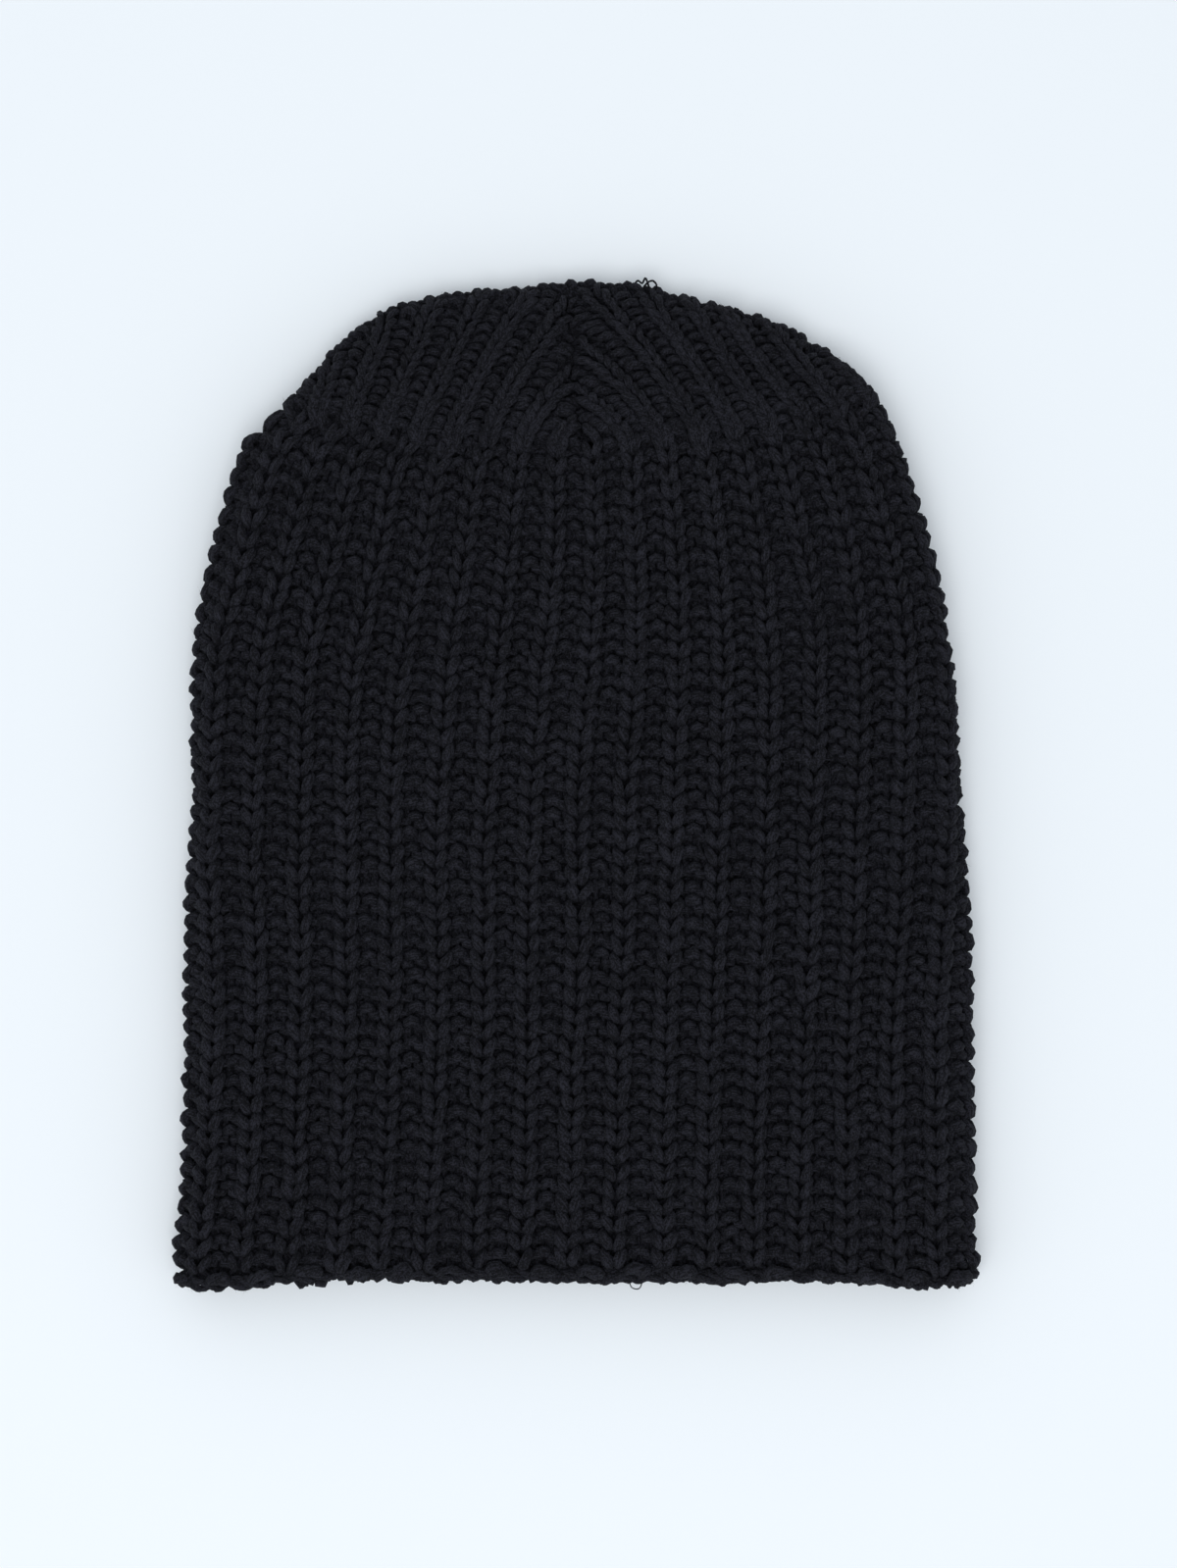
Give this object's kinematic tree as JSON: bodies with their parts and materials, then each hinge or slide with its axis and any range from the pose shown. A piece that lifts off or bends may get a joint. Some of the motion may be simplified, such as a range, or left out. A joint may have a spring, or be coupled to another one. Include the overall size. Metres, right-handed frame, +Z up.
{
  "type": "beanie",
  "caption": "Chunky black ribbed knit beanie without a cuff, lying flat and empty, with a seamed crown of tighter rib and a bound hem edge.",
  "frame": {"origin": "under the middle of the hat's outline, on the surface that it lies on", "axes": "+X across the hat to the right, +Y from the hem to the crown's tip, +Z up from the surface through the front of the hat"},
  "size_m": [0.221, 0.2778, 0.0218],
  "materials": {
    "rib_yarn": "matte knitted yarn",
    "crown_yarn": "matte knitted yarn"
  },
  "bodies": {
    "root": {"body": "rib_yarn", "hem_edge": "rib_yarn", "crown_front_left": "crown_yarn", "crown_front_right": "crown_yarn", "crown_back_left": "crown_yarn", "crown_back_right": "crown_yarn"}
  },
  "joints": []
}
